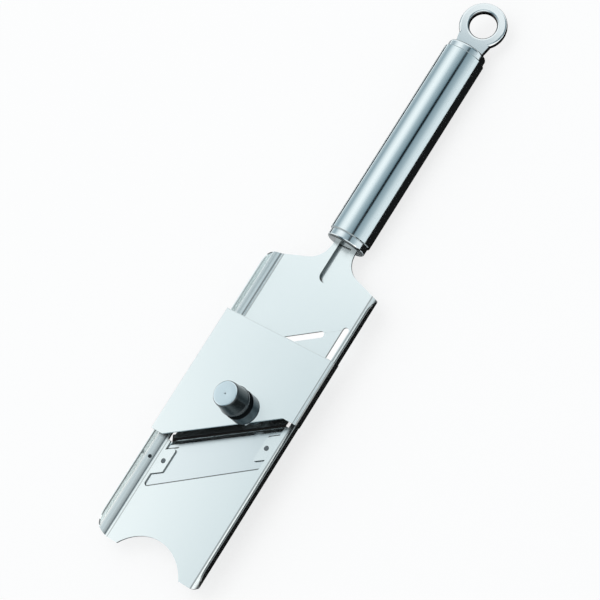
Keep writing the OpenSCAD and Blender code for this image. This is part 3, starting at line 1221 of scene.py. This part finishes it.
@dataclass
class Bridge:
    """The bent plate that carries the knob.

    Attributes:
        finishes: the finishes it is dressed in.
        middle: half of the slicer's length, in millimetres.
        rounding: width of the rounding along the plate's edges.
        bead_x: the weld beads' distance from the middle plane.
        lip_z: height of the lower edges of the side lips.
        bead_sink: how far the beads' middle lies under those edges.
        bead_l: their length.
        bead_r: their radius at the crest of a ripple.
        ripples: how many ripples a bead has.
        hollow: how much thinner a bead is between two ripples, as a share.
        blunt: the power that keeps a bead thick almost to its ends.
        left: where the left-hand beads start, from the feet.
        right: where the right-hand beads start.
    """

    finishes: Finishes
    middle: float = 191.12
    rounding: float = 0.18
    bead_x: float = 41.05
    lip_z: float = 16.0
    bead_sink: float = 0.05
    bead_l: float = 6.0
    bead_r: float = 0.72
    ripples: int = 8
    hollow: float = 0.14
    blunt: int = 8
    left: tuple[float, float] = (74.18, 134.5)
    right: tuple[float, float] = (115.0, 134.5)

    def build(self) -> None:
        """Dresses the plate and its weld beads."""
        plate = Piece("rounded_plate").copy("bridge_plate").soften(self.rounding, segments=2)
        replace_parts(plate.finish(self.finishes.plate, "frame", "brushed_sheet"), "bridge_plate")
        self._welds()

    def _welds(self) -> None:
        """Lays the rippled beads under the plate's side lips."""
        spine = self._spine()
        turn = Matrix.Rotation(math.radians(-90.0), 3, "X")
        z = self.lip_z - self.bead_sink
        beads = Piece("weld_beads")
        for x, starts in ((-self.bead_x, self.left), (self.bead_x, self.right)):
            for start in starts:
                centre = Vector((x, start + self.bead_l / 2.0 - self.middle, z))
                beads.join(Piece("bead").lathe(spine, steps=16).move(centre * MM, turn))
        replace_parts(beads.finish(self.finishes.weld, "frame", "weld_steel"), "bridge_welds")

    def _spine(self) -> Profile:
        """A bead's radius along its length.

        Returns:
            Radius and place of each point.
        """
        steps = 40
        spine = []
        for k in range(steps + 1):
            along = 2.0 * k / steps - 1.0
            crest = abs(math.cos(along * self.ripples * math.pi / 2.0))
            ripple = 1.0 - self.hollow * (1.0 - crest)
            end = max(0.0, 1.0 - along**self.blunt) ** 0.5
            spine.append((self.bead_r * ripple * end, along * self.bead_l / 2.0))
        return spine


@dataclass
class ThicknessScrew:
    """The knob, its screw and what holds them.

    Attributes:
        finishes: the finishes it is dressed in.
        place: the screw's place in metres, at the knob's lower end.
        bore: radius of the hole for the screw, in millimetres.
        bore_top: height of the hole's end.
        bore_cut: width of the chamfer at the hole's mouth.
        neck: radius of the knob's neck.
        neck_cut: radius of the rounding at the neck's lower end.
        neck_h: the neck's height.
        foot: radius of the knob's foot.
        foot_cut: radius of the rounding under the foot.
        step: heights above the neck where the foot ends and the crown starts.
        step_in: how far the crown's start lies inside the foot.
        crown: radius of the knob's end.
        crown_cut: radius of the rounding round the end.
        height: the knob's height.
        face_r: radius of the end's flat face.
        centre_mark: radius and depth of the lathe's centre mark, from its rim inwards.
    """

    finishes: Finishes
    place: Point = (0.0076, -0.08992, 0.0306)
    bore: float = 2.55
    bore_top: float = 11.0
    bore_cut: float = 0.3
    neck: float = 7.4
    neck_cut: float = 0.4
    neck_h: float = 3.3
    foot: float = 9.3
    foot_cut: float = 0.7
    step: tuple[float, float] = (1.5, 1.9)
    step_in: float = 0.35
    crown: float = 7.95
    crown_cut: float = 1.2
    height: float = 16.0
    face_r: float = 3.0
    centre_mark: Profile = ((0.62, 0.02), (0.4, 0.25), (0.0, 0.3))

    def build(self) -> None:
        """Dresses the screw, the collar and the pad, and turns the knob."""
        knob = Piece("turned_knob").lathe(self._profile(), steps=96).move(Vector(self.place))
        cap = knob.finish(self.finishes.knob, "knob", "knob_steel")
        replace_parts(cap, "knob_cap")
        # The plate mirrors the studio only, not the knob's dark shape.
        for solid in (cap, bpy.data.objects["screw_collar"], bpy.data.objects["thickness_screw"]):
            solid.visible_glossy = False
        self.finishes.dress(self.finishes.collar, "screw_collar", "swivel_pad")
        self.finishes.dress(self.finishes.hardware, "collar_nut", "thickness_screw", "stop_ring")

    def _profile(self) -> Profile:
        """The knob's outline, from the hole's end to the lathe's centre mark.

        Returns:
            Radius and height of each point.
        """
        foot_z, crown_z = (self.neck_h + rise for rise in self.step)
        neck = (self.neck - self.neck_cut, self.neck_cut)
        foot = (self.foot - self.foot_cut, self.neck_h + self.foot_cut)
        crown = (self.crown - self.crown_cut, self.height - self.crown_cut)
        profile = [(0.0, self.bore_top), (self.bore, self.bore_top), (self.bore, self.bore_cut)]
        profile += [(self.bore + self.bore_cut, 0.0)]
        profile += arc(neck, self.neck_cut, start=-90.0, stop=0.0, steps=3)
        profile += [(self.neck, self.neck_h)]
        profile += arc(foot, self.foot_cut, start=-90.0, stop=0.0)
        profile += [(self.foot, foot_z), (self.foot - self.step_in, crown_z)]
        profile += arc(crown, self.crown_cut, start=5.0, stop=86.0)
        profile += [(self.face_r, self.height)]
        profile += [(radius, self.height - depth) for radius, depth in self.centre_mark]
        return profile


@dataclass
class Handle:
    """The round grip with its caps and hanging ring.

    Attributes:
        finishes: the finishes it is dressed in.
    """

    finishes: Finishes

    def build(self) -> None:
        """Dresses the tube, the caps and what is inside."""
        self.finishes.dress(self.finishes.tube, "handle_tube")
        self.finishes.dress(self.finishes.capped, "front_cap", "rear_cap")
        self.finishes.dress(self.finishes.polished, "hanging_ring")
        self.finishes.dress(self.finishes.hardware, "tang_pin", "ring_nut")
        self.finishes.dress(self.finishes.plug, "tang_plug")


# ---- Studio ----


def hang(thing: bpy.types.Object, shown: bool = False) -> None:
    """Leaves a studio piece to the mirror rays and, if it is shown, to the camera.

    Args:
        thing: the piece.
        shown: whether the camera sees it.
    """
    thing.visible_camera = shown
    thing.visible_diffuse = False
    thing.visible_shadow = False
    thing.visible_transmission = False
    LOG.info("hung %s", thing.name)


def shine(sheet: Recipe, value: Wire | Colour) -> bpy.types.Material:
    """Turns a recipe into a plain glow.

    Args:
        sheet: the recipe.
        value: the glow's colour.

    Returns:
        The material.
    """
    colour = value if isinstance(value, Wire) else (*value, 1.0)
    sheet.surface(sheet.node("ShaderNodeEmission", {}, {"Color": colour}))
    return sheet.material


@dataclass(frozen=True)
class Card:
    """A flat card that sets how bright the steel's mirror image is where it lies.

    Attributes:
        name: the object's name.
        centre: its middle, in metres.
        size: its width and length in metres.
        turn: its turn about Z in degrees.
        lift: its height in metres.
        tone: its brightness.
        shown: whether the camera sees it too, through the openings of the deck.
    """

    name: str
    centre: tuple[float, float]
    size: tuple[float, float]
    turn: float = 0.0
    lift: float = 0.0002
    tone: float = 0.01
    shown: bool = False

    def build(self) -> None:
        """Makes the card."""
        mesh = bmesh.new()
        bmesh.ops.create_grid(mesh, x_segments=1, y_segments=1, size=0.5)
        bmesh.ops.scale(mesh, vec=(*self.size, 1.0), verts=mesh.verts)
        around = Matrix.Rotation(math.radians(self.turn), 3, "Z")
        bmesh.ops.rotate(mesh, matrix=around, verts=mesh.verts)
        bmesh.ops.translate(mesh, vec=(*self.centre, self.lift), verts=mesh.verts)
        glow = shine(Recipe(self.name + " glow"), (self.tone,) * 3)
        hang(stand(self.name, mesh, glow), self.shown)


@dataclass(frozen=True)
class Arch:
    """A graded half pipe round the slicer, the soft boxes that the steel mirrors.

    Attributes:
        radius: its radius in metres.
        length: its length in metres.
        deck: brightness over the angle above the right-hand horizon, for the deck.
        handle: the same for the handle.
        ring: the same for the hanging ring.
        change: where the deck's tones start and stop changing to the handle's, along Y.
        ring_change: where the handle's start and stop changing to the ring's.
        fall: how much the deck's tones darken in a metre along Y.
        fall_y: where they start to darken.
        fall_reach: how far they keep darkening, in metres.
        red: the power of the brightness that gives the red share.
        blue: the power that gives the blue share.
        steps: how many flat strips the arch is made of.
    """

    radius: float = 1.0
    length: float = 4.0
    deck: Profile = (
        (0, 1.7),
        (13, 1.6),
        (24, 1.0),
        (56, 1.0),
        (64, 1.02),
        (72, 1.0),
        (82, 0.60),
        (92, 0.20),
        (102, 0.20),
        (112, 0.45),
        (119, 0.64),
        (123, 0.85),
        (126, 1.04),
        (129, 1.16),
        (134, 1.20),
        (180, 1.15),
    )
    handle: Profile = (
        (0, 0.86),
        (8, 0.81),
        (14, 0.72),
        (26, 0.52),
        (38, 0.42),
        (46, 0.37),
        (51, 0.0),
        (58, 0.0),
        (64, 0.30),
        (72, 0.38),
        (84, 0.51),
        (90, 0.65),
        (96, 0.84),
        (104, 1.0),
        (115, 1.1),
        (129, 0.98),
        (136, 0.85),
        (144, 0.66),
        (152, 0.50),
        (160, 0.41),
        (170, 0.58),
        (180, 0.45),
    )
    ring: Profile = ((0, 0.10), (40, 0.20), (60, 0.70), (75, 0.98), (180, 0.98))
    change: tuple[float, float] = (0.161, 0.170)
    ring_change: tuple[float, float] = (0.455, 0.49)
    fall: float = 0.66
    fall_y: float = -0.19
    fall_reach: float = 0.9
    red: float = 1.22
    blue: float = 0.9
    steps: int = 72

    def build(self) -> None:
        """Makes the arch."""
        mesh = bmesh.new()
        ends = (-self.length / 2.0, self.length / 2.0)
        verts = [mesh.verts.new((self.radius, y, 0.0)) for y in ends]
        bmesh.ops.spin(
            mesh,
            geom=[*verts, mesh.edges.new(verts)],
            cent=(0.0, 0.0, 0.0),
            axis=(0.0, 1.0, 0.0),
            angle=-math.pi,
            steps=self.steps,
            use_merge=False,
            use_duplicate=False,
        )
        hang(stand("arch", mesh, self._glow()))

    def _glow(self) -> bpy.types.Material:
        """The arch's graded glow.

        Returns:
            The material.
        """
        sheet = Recipe("arch glow")
        x, y, z = sheet.axes(sheet.place())
        around = sheet.node("ShaderNodeMath", {"operation": "ARCTAN2"}, {0: z, 1: x})
        share = around * (1.0 / math.pi)
        deck, handle, ring = (
            self._ramp(sheet, share, tones) for tones in (self.deck, self.handle, self.ring)
        )
        deck = deck * (1.0 - self.fall * (y - self.fall_y).clamp(0.0, self.fall_reach))
        grey = deck + self._share(y, self.change) * (handle - deck)
        grey = grey + self._share(y, self.ring_change) * (ring - grey)
        tint = {0: grey**self.red, 1: grey, 2: grey**self.blue}
        return shine(sheet, sheet.node("ShaderNodeCombineColor", {}, tint))

    @staticmethod
    def _ramp(sheet: Recipe, share: Wire, tones: Profile) -> Wire:
        """Brightness over the half turn.

        Args:
            sheet: the recipe that it is added to.
            share: the share of the half turn, from the right-hand horizon.
            tones: angle in degrees and brightness of each stop.

        Returns:
            The brightness.
        """
        stops = [(angle / 180.0, tone) for angle, tone in tones]
        return sheet.node("ShaderNodeValToRGB", {"stops": stops}, {0: share}, "Color")

    @staticmethod
    def _share(y: Wire, change: tuple[float, float]) -> Wire:
        """How far a change of tones has come.

        Args:
            y: the place along Y.
            change: where it starts and stops.

        Returns:
            0 before it and 1 after it.
        """
        start, stop = change
        return ((y - start) * (1.0 / (stop - start))).clamp()


@dataclass
class Studio:
    """Floor, cards, lamp, world and camera.

    Attributes:
        eye: the camera's place in metres.
        right: the camera's right-hand direction.
        up: the camera's upward direction.
        back: the direction from the subject to the camera.
        lens: the camera's focal length in millimetres.
        world_light: colour of the world's light.
        world_power: its strength.
        floor_z: the floor's height in metres, clear of what rests on it.
        floor_half: half of its width.
        floor_tones: the two colours that drift over it.
        floor_glow: the share of plain white that the camera sees on it.
        lamp: the lamp's place in metres.
        lamp_size: its width.
        lamp_power: its power in watts.
        cards: the flat cards that the steel mirrors.
    """

    eye: Point = (0.6809, -0.19302, 0.9940)
    right: Point = (0.7370, 0.5276, -0.4225)
    up: Point = (-0.3664, 0.8372, 0.4061)
    back: Point = (0.5679, -0.1444, 0.8103)
    lens: float = 126.0
    world_light: Colour = (0.96, 0.98, 1.0)
    world_power: float = 0.8
    floor_z: float = -0.0006
    floor_half: float = 6.0
    floor_tones: tuple[Colour, Colour] = ((0.93, 0.94, 0.94), (0.95, 0.96, 0.96))
    floor_glow: float = 0.75
    lamp: Point = (-0.25, 0.2, 1.6)
    lamp_size: float = 1.2
    lamp_power: float = 6.0
    cards: tuple[Card, ...] = (
        Card("dark deck card", centre=(0.056, -0.087), size=(0.052, 0.22)),
        Card("dark handle card", centre=(0.004, 0.112), size=(0.076, 0.178)),
        Card(
            "throat shade",
            centre=(-0.0018, -0.1053),
            size=(0.073, 0.0076),
            turn=32.2,
            lift=0.0090,
            shown=True,
        ),
        Card("bore shade", centre=(0.0076, -0.0899), size=(0.012, 0.012), lift=0.0215),
        Card(
            "slot light",
            centre=(0.0137, -0.0335),
            size=(0.0357, 0.044),
            lift=0.009,
            tone=1.0,
            shown=True,
        ),
        Card("dark side card", centre=(-0.092, 0.105), size=(0.084, 0.150)),
    )

    def build(self) -> None:
        """Sets up the whole studio."""
        scene = bpy.context.scene
        scene.view_settings.view_transform = "Standard"
        self._camera(scene)
        self._world(scene)
        self._floor()
        Arch().build()
        for card in self.cards:
            card.build()
        self._lamp(scene)

    def _camera(self, scene: bpy.types.Scene) -> None:
        """Adds the camera.

        Args:
            scene: the scene that it serves.
        """
        data = bpy.data.cameras.new("studio camera")
        data.lens = self.lens
        data.sensor_width = 36.0
        data.sensor_fit = "HORIZONTAL"
        data.clip_end = 50.0
        camera = bpy.data.objects.new("studio camera", data)
        scene.collection.objects.link(camera)
        turn = Matrix((self.right, self.up, self.back)).transposed().to_quaternion()
        camera.matrix_world = Matrix.Translation(self.eye) @ turn.to_matrix().to_4x4()
        scene.camera = camera

    def _world(self, scene: bpy.types.Scene) -> None:
        """Gives the world its plain light, and a white background to what looks at it.

        Args:
            scene: the scene that it lights.
        """
        world = bpy.data.worlds.new("studio world")
        world.use_nodes = True
        sheet = Sheet(world.node_tree)
        seen, mirrored, passed = (
            sheet.node("ShaderNodeLightPath", output=f"Is {ray} Ray")
            for ray in ("Camera", "Glossy", "Transmission")
        )
        looked_at = seen.larger(mirrored).larger(passed)
        light, white = (
            sheet.node("ShaderNodeBackground", {}, {"Color": (*colour, 1.0), "Strength": power})
            for colour, power in ((self.world_light, self.world_power), ((1.0, 1.0, 1.0), 1.0))
        )
        mixed = sheet.node("ShaderNodeMixShader", {}, {0: looked_at, 1: light, 2: white})
        sheet.add("ShaderNodeOutputWorld", {}, {"Surface": mixed})
        scene.world = world

    def _floor(self) -> None:
        """Lays the pale floor."""
        mesh = bmesh.new()
        bmesh.ops.create_grid(mesh, x_segments=1, y_segments=1, size=self.floor_half)
        bmesh.ops.translate(mesh, vec=(0.0, 0.0, self.floor_z), verts=mesh.verts)
        sheet = Recipe("pale floor")
        cloud = sheet.noise(sheet.place(), scale=2.0)
        sheet.feed("Base Color", sheet.blend(cloud.clamp(), *self.floor_tones))
        sheet.fix(Roughness=0.9, Specular_IOR_Level=0.0)
        share = sheet.node("ShaderNodeLightPath", output="Is Camera Ray") * self.floor_glow
        glow = {"Color": (1.0, 1.0, 1.0, 1.0), "Strength": 1.0}
        white = sheet.node("ShaderNodeEmission", {}, glow)
        layers = {0: share, 1: sheet.plain(), 2: white}
        sheet.surface(sheet.node("ShaderNodeMixShader", {}, layers))
        stand("floor", mesh, sheet.material)

    def _lamp(self, scene: bpy.types.Scene) -> None:
        """Adds one wide soft lamp overhead.

        Args:
            scene: the scene that it lights.
        """
        data = bpy.data.lights.new("soft lamp", "AREA")
        data.shape = "SQUARE"
        data.size = self.lamp_size
        data.energy = self.lamp_power
        lamp = bpy.data.objects.new("soft lamp", data)
        scene.collection.objects.link(lamp)
        lamp.matrix_world = Matrix.Translation(self.lamp)
        lamp.visible_camera = False


def main() -> None:
    """Builds every sub-assembly in order, then the studio."""
    logging.basicConfig(level=logging.INFO, format="%(name)s: %(message)s")
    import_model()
    finishes = Finishes()
    for part in (Deck(finishes), Bridge(finishes), ThicknessScrew(finishes), Handle(finishes)):
        part.build()
        LOG.info("finished %s", type(part).__name__)
    Studio().build()
    bpy.context.view_layer.update()


if __name__ == "__main__":
    main()
